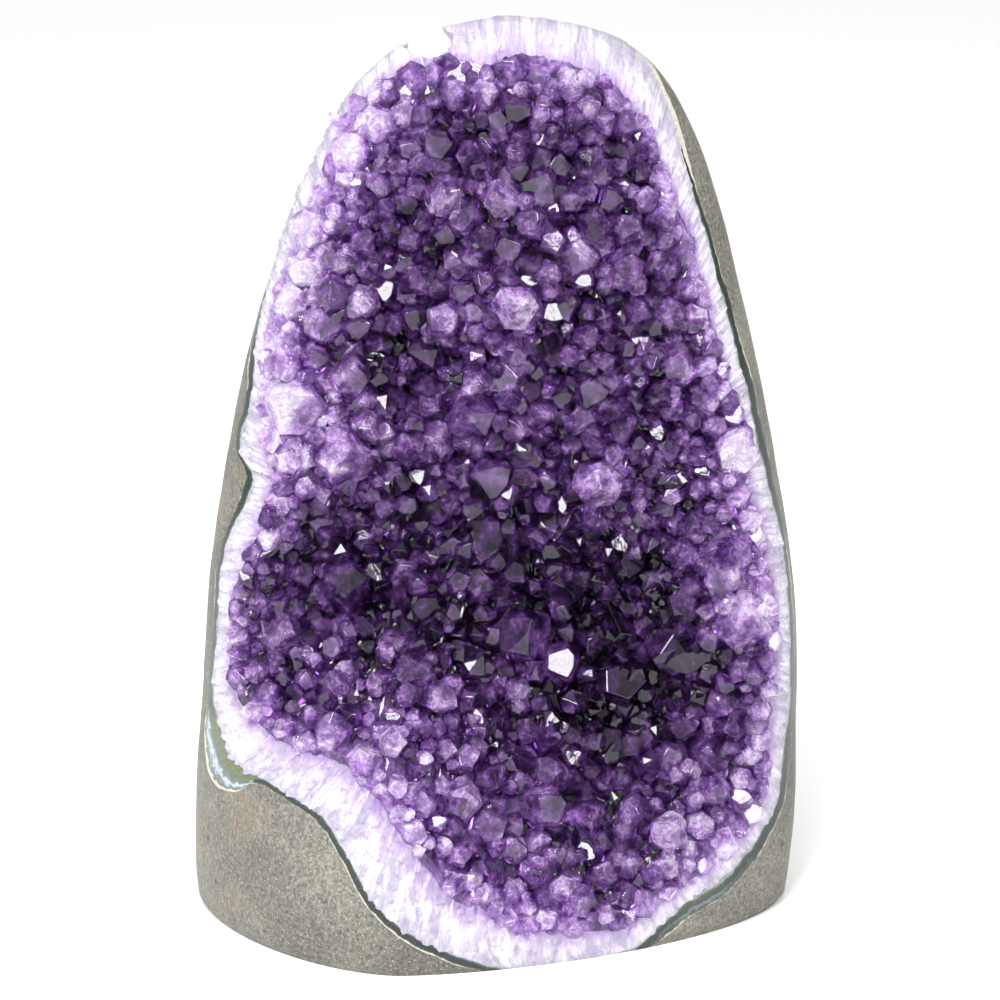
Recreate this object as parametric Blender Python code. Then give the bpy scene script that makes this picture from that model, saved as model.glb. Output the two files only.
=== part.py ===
"""Amethyst cluster: a free-standing half geode, cut flat underneath, its open face lined with crystals.

Four minerals, from the outside in: the basalt matrix that the geode grew in, a thin chalcedony rind,
a layer of white quartz, and the druse of amethyst points. The block is ground smooth all round, so the
four of them come to the same rounded outer surface. The face looks along -Y and the base lies on z = 0.
Lengths are in millimetres up to the point where a mesh is made.
"""

import math
import random

import bmesh
import bpy
from mathutils import Matrix, Vector

MM = 0.001

# Driving dimensions, in millimetres.
HEIGHT = 175.0
GAP = 0.3                    # clearance between neighbouring minerals
BASE_CHAMFER = 1.5           # ground edge round the flat base
CHAMFER_SHARE = 0.018        # how far that edge draws in, as a share of the section
SECTION_POINTS = 36          # points round each level section of the block
RIND_DEPTH = 2.4             # chalcedony, measured at the back of the hollow
BED_DEPTH = 2.6              # amethyst that the points stand on
ROOT_SHARE = 0.2             # how far up in that bed each point starts
BED_SPARE = 1.0              # extra bed, trimmed off with the roots that reach into it
CRYSTAL_SPACING = 11.8
CRYSTAL_WANDER = 2.6         # how far each stands from its place in the grid
CRYSTAL_RADIUS = (3.4, 5.2)
CRYSTAL_LENGTH = (6.0, 9.5)
CRYSTAL_LEAN = 26.0          # degrees away from the surface they grow on
CRYSTAL_SIDES = 6
SHOULDER_SHARE = 0.45        # of the length, where prism turns to pyramid
SHOULDER_STEP = 0.25         # of the radius, up at one edge and down at the next
OUTERMOST_SHARE = 0.97       # of the way out to the rim, for a crystal's foot
CRYSTAL_SEED = 7

# Level sections of the ground block: (z, left, right, widest depth, front, back, x of the front's crown,
# exponent of the front's curve). Left and right are the outline that the block shows from the front.
SECTIONS = (
    (0, -59.4, 58.0, 0, -38, 36.9, -19, 1.6),
    (8, -60, 59.0, 0.5, -37.9, 37.9, -19, 1.6),
    (25, -59.4, 60, 1.5, -37.2, 38.6, -18, 1.65),
    (42, -58.2, 60, 2.5, -34.8, 38.6, -15, 1.75),
    (58, -56.8, 59.2, 3.5, -31.4, 38.3, -11, 1.9),
    (75, -55, 57.3, 5, -27.5, 37.4, -7, 2),
    (90, -52.6, 54.8, 6.2, -24, 36.6, -5, 2),
    (106, -49.2, 51.6, 7.5, -19.8, 35.2, -3, 2),
    (122, -45, 47.8, 8.8, -15.4, 33.2, 0, 2),
    (137, -39.6, 44, 10.2, -10.4, 30.8, 2, 2),
    (150, -33.8, 39.8, 11.4, -6.2, 28, 4, 2),
    (160, -28.2, 35.2, 12, -2.5, 25.2, 5, 2),
    (166, -23, 30.8, 12.4, 0.8, 23, 5, 2),
    (170, -17.5, 25.5, 12.8, 3.6, 20.8, 4.5, 2),
    (173, -10.5, 18.5, 13, 6.4, 18.6, 4, 2),
    (HEIGHT, -1.5, 9, 13, 9.6, 16.2, 4, 2),
)
BACK_EXPONENT = 2.15
BACK_WAVE = 0.9              # the ground back isn't a true curve
BACK_WAVE_TURNS = 3
BACK_WAVE_RISE = 21.0

# Where the basalt stops on the ground surface, seen from the front and going anticlockwise:
# (x, z, how far behind the front surface, width of rind showing).
BASALT_RIM = (
    (59.2, 42, 0, 2.2), (58.6, 59, 0, 1.4), (57, 72, 0, 1.2), (54.9, 84, 0, 1.4), (52.2, 96, 0, 1.7),
    (49.6, 107, 0, 1.7), (46, 119, 0, 1.5), (42.6, 131, 0, 1.3), (39, 142, 0, 1.2), (35.5, 152, 2, 1.2),
    (31.5, 161, 4, 1.2), (27, 168, 6, 1.2), (20, 174, 7, 1.2), (10, 179, 8, 1.2), (0, 180, 8, 1.2),
    (-10, 177, 8, 1.2), (-19, 171, 7, 1.2), (-26, 164, 6, 1.2), (-33, 153, 5, 1.2), (-39, 141, 4, 1.2),
    (-43.5, 128, 2, 1.2), (-46.5, 116, 1, 1.2), (-48, 105, 0, 1.2), (-50.2, 95, 0, 1.2),
    (-48.2, 91.6, 0, 1.8), (-48.7, 87.5, 0, 1.8), (-50.8, 81.5, 0, 1.2), (-53.5, 73, 0, 1.2),
    (-54.8, 60, 0, 1.2), (-56, 48, 0, 1.6), (-57.1, 39, 0, 4), (-57, 31, 0, 7),
    (-54.6, 28.4, 0, 9), (-50.4, 29.5, 0, 7.2), (-45.6, 33.4, 0, 1.9), (-37.5, 31.2, 0, 1.7),
    (-33.2, 28.4, 0, 1.8),
    (-29, 22.2, 0, 1.9), (-25, 15.2, 0, 1.9), (-21, 10.7, 0, 1.9), (-16, 6.7, 0, 2), (-10.4, 3.2, 0, 2),
    (-4, 0.6, 0, 2), (4, -2.5, 0, 2), (16, -4, 0, 2.2), (27, -2.5, 0, 2.6), (33, 1.2, 0, 3.2),
    (38, 4.6, 0, 3.4), (45, 7, 0, 3.2), (50, 11.5, 0, 3), (54, 16.5, 0, 2.8), (57, 22, 0, 2.6),
    (58, 29, 0, 2.6),
)
# Where the white quartz gives way to amethyst, in the same way: (x, z).
AMETHYST_RIM = (
    (54.4, 47), (54.8, 57), (54, 65.5), (52, 74), (50.8, 82), (48.7, 91.5), (47.2, 99), (44.7, 109),
    (42.3, 118.5), (39.7, 128), (36.8, 137.5), (33.3, 146.5), (29.5, 155), (24.5, 162.5), (18, 167),
    (10, 168.5), (1, 169), (-9.5, 169), (-19, 165.8), (-26.8, 157.6), (-32.8, 147.4), (-36.9, 136.5),
    (-40, 128), (-42.6, 120), (-44.3, 111), (-44.1, 100), (-42.6, 91.5), (-44.2, 84), (-47.7, 75.5),
    (-50, 65), (-50.5, 56), (-49, 48.5), (-44, 44), (-37, 42.5), (-28.3, 41), (-22.6, 35.3), (-17.5, 28),
    (-13, 20.5), (-6.6, 14), (1, 10), (10.6, 6.4), (20.3, 5.2), (28, 6.8), (36, 10.8), (43, 15.2),
    (49.5, 19.8), (52.6, 28), (53.6, 37),
)

# The hollow behind each rim: a bowl about this centre, this deep there and this steep at the rim.
HOLLOW_CENTRE = (4.0, 92.0)
HOLLOW_POWER = 2.6
BASALT_DEPTH = 13.0
AMETHYST_DEPTH = -1.5
BOWL_RINGS = (0.35, 0.65, 0.85, 1.0)
FLARE = 1.45                 # each bowl opens out past its rim, to clear the block
FLARE_FORWARD = 26.0
CUTTER_FRONT = -75.0
RELIEF_FADE = 4              # the swells and dips die away towards the rim by this power

# Swells and dips of the druse: (x, z, radius, height towards the face).
FACE_RELIEF = (
    (-34, 106, 16, 4.5), (6, 133, 15, 3.5), (42, 64, 13, 4.0), (8, 34, 15, 3.0), (-30, 62, 14, 2.5),
    (22, 68, 17, -4.5), (-16, 118, 12, -2.5), (24, 108, 13, 2.0), (-4, 84, 12, 1.5), (28, 36, 12, -2.5),
)


def smooth_between(xs, ys, x):
    """Monotone cubic through the points (xs, ys), read at x."""
    x = min(max(x, xs[0]), xs[-1])
    last = len(xs) - 2
    i = min(sum(x >= stop for stop in xs[1:]), last)

    def slope(k):
        return (ys[k + 1] - ys[k]) / (xs[k + 1] - xs[k])

    def tangent(k):
        if k == 0 or k == len(xs) - 1:
            return slope(min(k, last))
        before, after = slope(k - 1), slope(k)
        return 0.0 if before * after <= 0 else 2 * before * after / (before + after)

    width = xs[i + 1] - xs[i]
    t = (x - xs[i]) / width
    rise = t * t * (3 - 2 * t)
    return (ys[i] * (1 - rise) + ys[i + 1] * rise
            + width * tangent(i) * t * (1 - t) ** 2 - width * tangent(i + 1) * t * t * (1 - t))


def section_at(z):
    """(left, right, widest depth, front, back, crown x, exponent) of the block at this height."""
    heights = [row[0] for row in SECTIONS]
    return [smooth_between(heights, [row[k] for row in SECTIONS], z) for k in range(1, 8)]


def front_depth(x, z):
    """y of the ground front surface at this x and z."""
    left, right, widest, front, _, crown, exponent = section_at(z)
    reach = (x - crown) / (right - crown) if x > crown else (crown - x) / (crown - left)
    reach = min(max(reach, 0.0), 1.0)
    return widest + (front - widest) * (1 - reach ** exponent) ** (1 / exponent)


def section_ring(z):
    """Points round the level section at height z, anticlockwise from above."""
    left, right, widest, front, back, crown, front_exponent = section_at(z)
    inset = CHAMFER_SHARE * max(0.0, 1 - z / BASE_CHAMFER)
    ring = []
    for k in range(SECTION_POINTS):
        angle = 2 * math.pi * k / SECTION_POINTS
        along, across = math.cos(angle), math.sin(angle)
        exponent = BACK_EXPONENT if across > 0 else front_exponent
        reach = math.copysign(abs(along) ** (2 / exponent), along)
        depth = abs(across) ** (2 / exponent)
        x = crown + reach * ((right - crown) if reach > 0 else (crown - left))
        if across > 0:
            wave = BACK_WAVE * depth * (math.sin(BACK_WAVE_TURNS * angle + z / BACK_WAVE_RISE) - 1)
            y = widest + (back - widest) * depth + wave
        else:
            y = widest + (front - widest) * depth
        ring.append(Vector((x * (1 - inset), y * (1 - inset), z)) * MM)
    return ring


def mesh_object(name, bm, collection):
    bmesh.ops.recalc_face_normals(bm, faces=bm.faces)
    mesh = bpy.data.meshes.new(name)
    bm.to_mesh(mesh)
    bm.free()
    obj = bpy.data.objects.new(name, mesh)
    collection.objects.link(obj)
    return obj


def bridge(bm, below, above):
    """A band of quads between two rings that have the same number of points."""
    for k in range(len(below)):
        after = (k + 1) % len(below)
        bm.faces.new((below[k], below[after], above[after], above[k]))


def block_loft():
    """The ground outer surface of the whole block, as one closed mesh."""
    bm = bmesh.new()
    heights = [SECTIONS[0][0], BASE_CHAMFER] + [row[0] for row in SECTIONS[1:]]
    rings = [[bm.verts.new(point) for point in section_ring(z)] for z in heights]
    for below, above in zip(rings, rings[1:]):
        bridge(bm, below, above)
    bm.faces.new(list(reversed(rings[0])))
    bm.faces.new(rings[-1])
    return bm


def inset_rim(rim, widths):
    """The rim, as (x, z, behind), drawn in towards the hollow's centre by its width at each point."""
    moved = []
    for (x, z, behind), width in zip(rim, widths):
        out_x, out_z = x - HOLLOW_CENTRE[0], z - HOLLOW_CENTRE[1]
        share = 1 - width / math.hypot(out_x, out_z)
        moved.append((HOLLOW_CENTRE[0] + out_x * share, HOLLOW_CENTRE[1] + out_z * share, behind))
    return moved


def basalt_rim():
    return [(x, z, behind) for x, z, behind, _ in BASALT_RIM]


def rind_rim():
    return inset_rim(basalt_rim(), [width for *_, width in BASALT_RIM])


def amethyst_rim():
    return [(x, z, 0.0) for x, z in AMETHYST_RIM]


def relief_at(x, z):
    return sum(height * math.exp(-((x - cx) ** 2 + (z - cz) ** 2) / radius ** 2)
               for cx, cz, radius, height in FACE_RELIEF)


def bowl_point(rim_point, share, depth, lift, has_relief):
    """A point of a bowl, this share of the way from its centre out to a point of its rim."""
    rim_x, rim_z, behind = rim_point
    x = HOLLOW_CENTRE[0] + (rim_x - HOLLOW_CENTRE[0]) * share
    z = HOLLOW_CENTRE[1] + (rim_z - HOLLOW_CENTRE[1]) * share
    rim_y = front_depth(rim_x, rim_z) + behind
    y = depth + (rim_y - depth) * share ** HOLLOW_POWER - lift
    if has_relief:
        y -= relief_at(x, z) * (1 - share ** RELIEF_FADE)
    return Vector((x, y, z)) * MM


def cutter_mesh(rim, depth, lift=0.0, has_relief=False):
    """Everything in front of a bowl: the bowl, its flare past the rim and a flat front."""
    rim = inset_rim(rim, [lift] * len(rim))
    bm = bmesh.new()
    centre = bm.verts.new(bowl_point(rim[0], 0.0, depth, lift, has_relief))
    rings = [[bm.verts.new(bowl_point(point, share, depth, lift, has_relief)) for point in rim]
             for share in BOWL_RINGS]
    flare = []
    for vert in rings[-1]:
        x, y, z = vert.co / MM
        out_x = HOLLOW_CENTRE[0] + (x - HOLLOW_CENTRE[0]) * FLARE
        out_z = HOLLOW_CENTRE[1] + (z - HOLLOW_CENTRE[1]) * FLARE
        flare.append(Vector((out_x, y - FLARE_FORWARD, out_z)) * MM)
    rings.append([bm.verts.new(point) for point in flare])
    rings.append([bm.verts.new((point.x, CUTTER_FRONT * MM, point.z)) for point in flare])
    for k in range(len(rim)):
        bm.faces.new((centre, rings[0][k], rings[0][(k + 1) % len(rim)]))
    for inner, outer in zip(rings, rings[1:]):
        bridge(bm, inner, outer)
    bmesh.ops.triangulate(bm, faces=bm.faces, quad_method="FIXED")
    bm.faces.new(rings[-1])
    return bm


def rim_towards(rim, angle):
    """The point where a line from the hollow's centre, at this angle, meets the rim."""
    turns = [math.atan2(z - HOLLOW_CENTRE[1], x - HOLLOW_CENTRE[0]) for x, z, _ in rim]
    for i, start in enumerate(rim):
        past = math.remainder(angle - turns[i], 2 * math.pi)
        span = math.remainder(turns[(i + 1) % len(rim)] - turns[i], 2 * math.pi)
        if 0 <= past < span:
            end = rim[(i + 1) % len(rim)]
            return [a + (b - a) * past / span for a, b in zip(start, end)]
    return rim[0]


def bowl_frame(x, z):
    """(place, direction away, share of the way to the rim) on the druse's underside at this x and z."""
    across, up = x - HOLLOW_CENTRE[0], z - HOLLOW_CENTRE[1]
    angle = math.atan2(up, across)
    rim_point = rim_towards(amethyst_rim(), angle)
    reach = math.hypot(rim_point[0] - HOLLOW_CENTRE[0], rim_point[1] - HOLLOW_CENTRE[1])
    share = math.hypot(across, up) / reach
    place = bowl_point(rim_point, share, AMETHYST_DEPTH, GAP, True)
    drop = front_depth(rim_point[0], rim_point[1]) - AMETHYST_DEPTH
    steepness = HOLLOW_POWER * drop * share ** (HOLLOW_POWER - 1) / reach
    outward = Vector((steepness * math.cos(angle), -1.0, steepness * math.sin(angle)))
    return place, outward.normalized(), share


def crystal_mesh(radius, length):
    """A six-sided point: a short prism under a pyramid whose faces take turns to be wide and narrow."""
    bm = bmesh.new()
    foot, top = [], []
    for k in range(CRYSTAL_SIDES):
        angle = 2 * math.pi * k / CRYSTAL_SIDES
        x, y = radius * math.cos(angle), radius * math.sin(angle)
        foot.append(bm.verts.new(Vector((x, y, 0)) * MM))
        shoulder = length * SHOULDER_SHARE + radius * SHOULDER_STEP * (-1) ** k
        top.append(bm.verts.new(Vector((x, y, shoulder)) * MM))
    tip = bm.verts.new(Vector((0, 0, length)) * MM)
    bridge(bm, foot, top)
    bm.faces.new(list(reversed(foot)))
    for k in range(CRYSTAL_SIDES):
        bm.faces.new((top[k], top[(k + 1) % CRYSTAL_SIDES], tip))
    return bm


def crystal_places():
    """A staggered grid over the face, each place moved a little: (x, z) for every larger crystal."""
    chance = random.Random(CRYSTAL_SEED)
    row_height = CRYSTAL_SPACING * math.sqrt(3) / 2
    columns = math.ceil(HEIGHT / 2 / CRYSTAL_SPACING)
    places = []
    for row in range(int(HEIGHT / row_height)):
        for column in range(-columns, columns):
            x = (column + row % 2 / 2) * CRYSTAL_SPACING
            z = (row + 1 / 2) * row_height
            places.append((x + chance.uniform(-CRYSTAL_WANDER, CRYSTAL_WANDER),
                           z + chance.uniform(-CRYSTAL_WANDER, CRYSTAL_WANDER)))
    return places


def add_crystals(collection):
    chance = random.Random(CRYSTAL_SEED + 1)
    for x, z in crystal_places():
        place, outward, share = bowl_frame(x, z)
        size = chance.random()
        lean = math.radians(chance.uniform(0, CRYSTAL_LEAN))
        lean_turn = chance.uniform(0, 2 * math.pi)
        spin = chance.uniform(0, 2 * math.pi / CRYSTAL_SIDES)
        if share > OUTERMOST_SHARE:
            continue
        radius = CRYSTAL_RADIUS[0] + size * (CRYSTAL_RADIUS[1] - CRYSTAL_RADIUS[0])
        length = CRYSTAL_LENGTH[0] + size * (CRYSTAL_LENGTH[1] - CRYSTAL_LENGTH[0])
        crystal = mesh_object("crystal", crystal_mesh(radius, length), collection)
        stand = outward.to_track_quat("Z", "Y").to_matrix().to_4x4()
        tip_over = Matrix.Rotation(lean_turn, 4, "Z") @ Matrix.Rotation(lean, 4, "X")
        root = place + outward * (ROOT_SHARE * BED_DEPTH * MM)
        crystal.matrix_world = Matrix.Translation(root) @ stand @ tip_over @ Matrix.Rotation(spin, 4, "Z")


def material(name, colour, roughness, transmission=0.0):
    made = bpy.data.materials.new(name)
    made.use_nodes = True
    shader = made.node_tree.nodes["Principled BSDF"]
    shader.inputs["Base Color"].default_value = (*colour, 1.0)
    shader.inputs["Roughness"].default_value = roughness
    shader.inputs["Metallic"].default_value = 0.0
    shader.inputs["Transmission Weight"].default_value = transmission
    return made


def boolean(obj, operation, other, solver="EXACT"):
    modifier = obj.modifiers.new(operation.lower(), "BOOLEAN")
    modifier.operation = operation
    modifier.solver = solver
    if isinstance(other, bpy.types.Collection):
        modifier.operand_type = "COLLECTION"
        modifier.collection = other
    else:
        modifier.object = other


def helper(obj):
    obj.hide_render = True
    obj.display_type = "WIRE"
    return obj


def cutter(name, bm, collection):
    return helper(mesh_object(name, bm, collection))


def main():
    for obj in list(bpy.data.objects):
        bpy.data.objects.remove(obj, do_unlink=True)
    parts = bpy.data.collections.new("amethyst_cluster")
    cutters = bpy.data.collections.new("cutters")
    crystals = bpy.data.collections.new("crystal_points")
    for collection in (parts, cutters, crystals):
        bpy.context.scene.collection.children.link(collection)

    block = cutter("block", block_loft(), cutters)
    rind_depth = BASALT_DEPTH - RIND_DEPTH
    inside_basalt = cutter("inside_basalt", cutter_mesh(basalt_rim(), BASALT_DEPTH), cutters)
    inside_rind = cutter("inside_rind", cutter_mesh(rind_rim(), rind_depth), cutters)
    inside_quartz = cutter(
        "inside_quartz", cutter_mesh(amethyst_rim(), AMETHYST_DEPTH, 0.0, True), cutters)
    over_quartz = cutter(
        "over_quartz", cutter_mesh(amethyst_rim(), AMETHYST_DEPTH, GAP, True), cutters)
    over_bed = cutter(
        "over_bed", cutter_mesh(amethyst_rim(), AMETHYST_DEPTH, BED_DEPTH + GAP, True), cutters)

    basalt = mesh_object("basalt_matrix", block_loft(), parts)
    basalt.data.materials.append(material("basalt", (0.26, 0.25, 0.23), 0.6))
    boolean(basalt, "DIFFERENCE", inside_basalt)

    rind = mesh_object("chalcedony_rind", cutter_mesh(basalt_rim(), BASALT_DEPTH, GAP), parts)
    rind.data.materials.append(material("chalcedony", (0.05, 0.09, 0.08), 0.25))
    boolean(rind, "INTERSECT", block)
    boolean(rind, "DIFFERENCE", inside_rind)

    quartz = mesh_object("quartz_layer", cutter_mesh(rind_rim(), rind_depth, GAP), parts)
    quartz.data.materials.append(material("white_quartz", (0.82, 0.8, 0.86), 0.3))
    boolean(quartz, "INTERSECT", block)
    boolean(quartz, "DIFFERENCE", inside_quartz)

    add_crystals(crystals)
    for crystal in crystals.objects:
        helper(crystal)
    druse = mesh_object(
        "amethyst_druse", cutter_mesh(amethyst_rim(), AMETHYST_DEPTH, -BED_SPARE, True), parts)
    druse.data.materials.append(material("amethyst", (0.2, 0.06, 0.42), 0.1, 0.6))
    boolean(druse, "DIFFERENCE", over_bed)
    boolean(druse, "UNION", crystals)
    boolean(druse, "INTERSECT", over_quartz)
    boolean(druse, "INTERSECT", block, "MANIFOLD")


main()
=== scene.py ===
"""Looks of the amethyst cluster: ground basalt, chalcedony rind, white quartz and the druse of points.

Lengths are in millimetres up to the point where a mesh is made. The face looks along -Y.
"""

import math
import random

import bmesh
import bpy
import numpy as np
from mathutils import Matrix, Vector, noise


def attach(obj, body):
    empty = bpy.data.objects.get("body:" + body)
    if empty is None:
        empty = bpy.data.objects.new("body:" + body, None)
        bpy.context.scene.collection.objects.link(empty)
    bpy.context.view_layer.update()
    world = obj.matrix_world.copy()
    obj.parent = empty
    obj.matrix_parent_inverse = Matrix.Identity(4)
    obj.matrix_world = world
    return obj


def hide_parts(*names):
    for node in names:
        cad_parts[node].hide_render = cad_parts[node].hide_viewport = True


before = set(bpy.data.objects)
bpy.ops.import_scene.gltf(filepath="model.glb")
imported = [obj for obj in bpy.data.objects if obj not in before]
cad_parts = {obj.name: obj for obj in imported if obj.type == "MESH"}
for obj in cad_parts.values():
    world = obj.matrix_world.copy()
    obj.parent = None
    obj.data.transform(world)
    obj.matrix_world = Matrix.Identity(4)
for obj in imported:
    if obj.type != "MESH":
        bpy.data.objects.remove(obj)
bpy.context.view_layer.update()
MM = 0.001

# ---------------------------------------------------------------- the block and its hollow

HEIGHT = 175.0
BASE_CHAMFER = 1.5
CHAMFER_SHARE = 0.018
BLOCK_MESH = (300, 1.2)      # points round each level section, and the height between sections
QUARTZ_MESH = (640, 0.6)
FOOT_RINGS = (0.0, 0.5, 1.0)
CROWN_RINGS = (168.0, 174.4, 12)     # from, to and how many: the top closes in fast
LAST_RINGS = (174.8, HEIGHT)
BLOCK_AXIS = (2.0, 3.0)      # x and y of the upright line that the surface swells away from
SWELL = 0.35
SWELL_SIZE = 26.0
SWELL_FOOT = 6.0             # it dies away over this height above the base
SINK = 0.3                   # the ground surface lies this far inside the section table
# (z, left, right, widest depth, front, back, x of the front's crown, exponent of the front's curve)
SECTIONS = np.array((
    (0, -59.4, 58.0, 0, -38, 36.9, -19, 1.6),
    (8, -60, 59.0, 0.5, -37.9, 37.9, -19, 1.6),
    (25, -59.4, 60, 1.5, -37.2, 38.6, -18, 1.65),
    (42, -58.2, 60, 2.5, -34.8, 38.6, -15, 1.75),
    (58, -56.8, 59.2, 3.5, -31.4, 38.3, -11, 1.9),
    (75, -55, 57.3, 5, -27.5, 37.4, -7, 2),
    (90, -52.6, 54.8, 6.2, -24, 36.6, -5, 2),
    (106, -49.2, 51.6, 7.5, -19.8, 35.2, -3, 2),
    (122, -45, 47.8, 8.8, -15.4, 33.2, 0, 2),
    (137, -39.6, 44, 10.2, -10.4, 30.8, 2, 2),
    (150, -33.8, 39.8, 11.4, -6.2, 28, 4, 2),
    (160, -28.2, 35.2, 12, -2.5, 25.2, 5, 2),
    (166, -23, 30.8, 12.4, 0.8, 23, 5, 2),
    (170, -17.5, 25.5, 12.8, 3.6, 20.8, 4.5, 2),
    (173, -10.5, 18.5, 13, 6.4, 18.6, 4, 2),
    (HEIGHT, -1.5, 9, 13, 9.6, 16.2, 4, 2),
))
BACK_EXPONENT = 2.15
BACK_WAVE = 0.9
BACK_WAVE_TURNS = 3
BACK_WAVE_RISE = 21.0

# (x, z, how far behind the front surface, width of rind showing)
BASALT_RIM = (
    (59.2, 42, 0, 2.2), (58.6, 59, 0, 1.4), (57, 72, 0, 1.2), (54.9, 84, 0, 1.4), (52.2, 96, 0, 1.7),
    (49.6, 107, 0, 1.7), (46, 119, 0, 1.5), (42.6, 131, 0, 1.3), (39, 142, 0, 1.2), (35.5, 152, 2, 1.2),
    (31.5, 161, 4, 1.2), (27, 168, 6, 1.2), (20, 174, 7, 1.2), (10, 179, 8, 1.2), (0, 180, 8, 1.2),
    (-10, 177, 8, 1.2), (-19, 171, 7, 1.2), (-26, 164, 6, 1.2), (-33, 153, 5, 1.2), (-39, 141, 4, 1.2),
    (-43.5, 128, 2, 1.2), (-46.5, 116, 1, 1.2), (-48, 105, 0, 1.2), (-50.2, 95, 0, 1.2),
    (-48.2, 91.6, 0, 1.8), (-48.7, 87.5, 0, 1.8), (-50.8, 81.5, 0, 1.2), (-53.5, 73, 0, 1.2),
    (-54.8, 60, 0, 1.2), (-56, 48, 0, 1.6), (-57.1, 39, 0, 4), (-57, 31, 0, 7),
    (-54.6, 28.4, 0, 9), (-50.4, 29.5, 0, 7.2), (-45.6, 33.4, 0, 1.9), (-37.5, 31.2, 0, 1.7),
    (-33.2, 28.4, 0, 1.8),
    (-29, 22.2, 0, 1.9), (-25, 15.2, 0, 1.9), (-21, 10.7, 0, 1.9), (-16, 6.7, 0, 2), (-10.4, 3.2, 0, 2),
    (-4, 0.6, 0, 2), (4, -2.5, 0, 2), (16, -4, 0, 2.2), (27, -2.5, 0, 2.6), (33, 1.2, 0, 3.2),
    (38, 4.6, 0, 3.4), (45, 7, 0, 3.2), (50, 11.5, 0, 3), (54, 16.5, 0, 2.8), (57, 22, 0, 2.6),
    (58, 29, 0, 2.6),
)
AMETHYST_RIM = (
    (54.4, 47), (54.8, 57), (54, 65.5), (52, 74), (50.8, 82), (48.7, 91.5), (47.2, 99), (44.7, 109),
    (42.3, 118.5), (39.7, 128), (36.8, 137.5), (33.3, 146.5), (29.5, 155), (24.5, 162.5), (18, 167),
    (10, 168.5), (1, 169), (-9.5, 169), (-19, 165.8), (-26.8, 157.6), (-32.8, 147.4), (-36.9, 136.5),
    (-40, 128), (-42.6, 120), (-44.3, 111), (-44.1, 100), (-42.6, 91.5), (-44.2, 84), (-47.7, 75.5),
    (-50, 65), (-50.5, 56), (-49, 48.5), (-44, 44), (-37, 42.5), (-28.3, 41), (-22.6, 35.3), (-17.5, 28),
    (-13, 20.5), (-6.6, 14), (1, 10), (10.6, 6.4), (20.3, 5.2), (28, 6.8), (36, 10.8), (43, 15.2),
    (49.5, 19.8), (52.6, 28), (53.6, 37),
)
HOLLOW_CENTRE = np.array((4.0, 92.0))
HOLLOW_POWER = 2.6
MIDDLE_CROWDING = 0.8        # below 1, a bowl's rings are wider apart near its middle
BASALT_DEPTH = 13.0
RIND_DEPTH = 2.4
AMETHYST_DEPTH = -1.5
FACE_RELIEF = (
    (-34, 106, 16, 4.5), (6, 133, 15, 3.5), (42, 64, 13, 4.0), (8, 34, 15, 3.0), (-30, 62, 14, 2.5),
    (22, 68, 17, -4.5), (-16, 118, 12, -2.5), (24, 108, 13, 2.0), (-4, 84, 12, 1.5), (28, 36, 12, -2.5),
)
RELIEF_FADE = 4              # the swells and dips die away towards the rim by this power
RIM_STEPS = 8
BOWL_RINGS = 30
FLARE = 1.45                 # each bowl opens out past its rim, to clear the block
FLARE_SHARES = (1.02, 1.06, 1.15, 1.3, FLARE)
FLARE_FORWARD = 26.0
CUTTER_FRONT = -75.0
RAGGED = 0.35                # how far a mineral's edge wanders
AMETHYST_RAGGED = 1.3
RAGGED_SIZE = 9.0
RAGGED_FINE = (2.4, 0.6)     # size and share of the finer wander
RIM_RADIUS = 62.0            # a typical distance of the rims from the hollow's centre
GRAIN = (2.1, 4.5)           # width and length of the quartz's grown cells
GROOVE = 1.1                 # height from the edge of a cell to its crown, for each cell width
GROOVE_REACH = 0.4
SUGAR = 0.55                 # height and size of the fine sugary grain
SUGAR_SIZE = 1.3
GRAIN_FOOT = 4.0
BITE_CENTRE = (-12.4, 6.0, 172.4)    # the lump broken out of the top edge
BITE_RADII = (4.6, 40.0, 3.6)
BITE_SLOPE = math.radians(18.0)
BITE_ROUGH = 0.16
BITE_GRAIN = (2.2, 9.0, 2.2)
GAP = 0.08                   # between the clear druse and the quartz behind it
BED_DEPTH = 1.3              # amethyst that the points stand on
BED_SPARE = 1.0              # it starts this far behind the quartz, so that no two surfaces coincide
BED_ROUGH = 0.8              # how far the bed between the points rises and falls
BED_GRAIN = 1.9
BED_SINK = 0.5               # and how far it sinks as a whole, as a share of that
BED_OWN = 0.5                # its colour is midway between those of the points


def smooth_between(xs, ys, x):
    """Monotone cubic through the points (xs, ys), read at every x."""
    x = np.clip(x, xs[0], xs[-1])
    width = np.diff(xs)
    slope = np.diff(ys) / width
    before, after = slope[:-1], slope[1:]
    same_way = before * after > 0
    total = np.where(same_way, before + after, 1.0)
    middle = np.where(same_way, 2 * before * after / total, 0.0)
    tangent = np.concatenate(([slope[0]], middle, [slope[-1]]))
    i = np.clip(np.searchsorted(xs, x, side="right") - 1, 0, len(xs) - 2)
    t = (x - xs[i]) / width[i]
    rise = t * t * (3 - 2 * t)
    return (ys[i] * (1 - rise) + ys[i + 1] * rise
            + width[i] * tangent[i] * t * (1 - t) ** 2 - width[i] * tangent[i + 1] * t * t * (1 - t))


def section_at(z):
    """(left, right, widest depth, front, back, crown x, exponent) of the block at each height."""
    return [smooth_between(SECTIONS[:, 0], SECTIONS[:, k], z) for k in range(1, 8)]


def front_depth(x, z):
    """y of the ground front surface at each x and z."""
    left, right, widest, front, _, crown, exponent = section_at(z)
    reach = np.where(x > crown, (x - crown) / (right - crown), (crown - x) / (crown - left))
    reach = np.clip(reach, 0.0, 1.0)
    return widest + (front - widest) * (1 - reach ** exponent) ** (1 / exponent)


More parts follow.
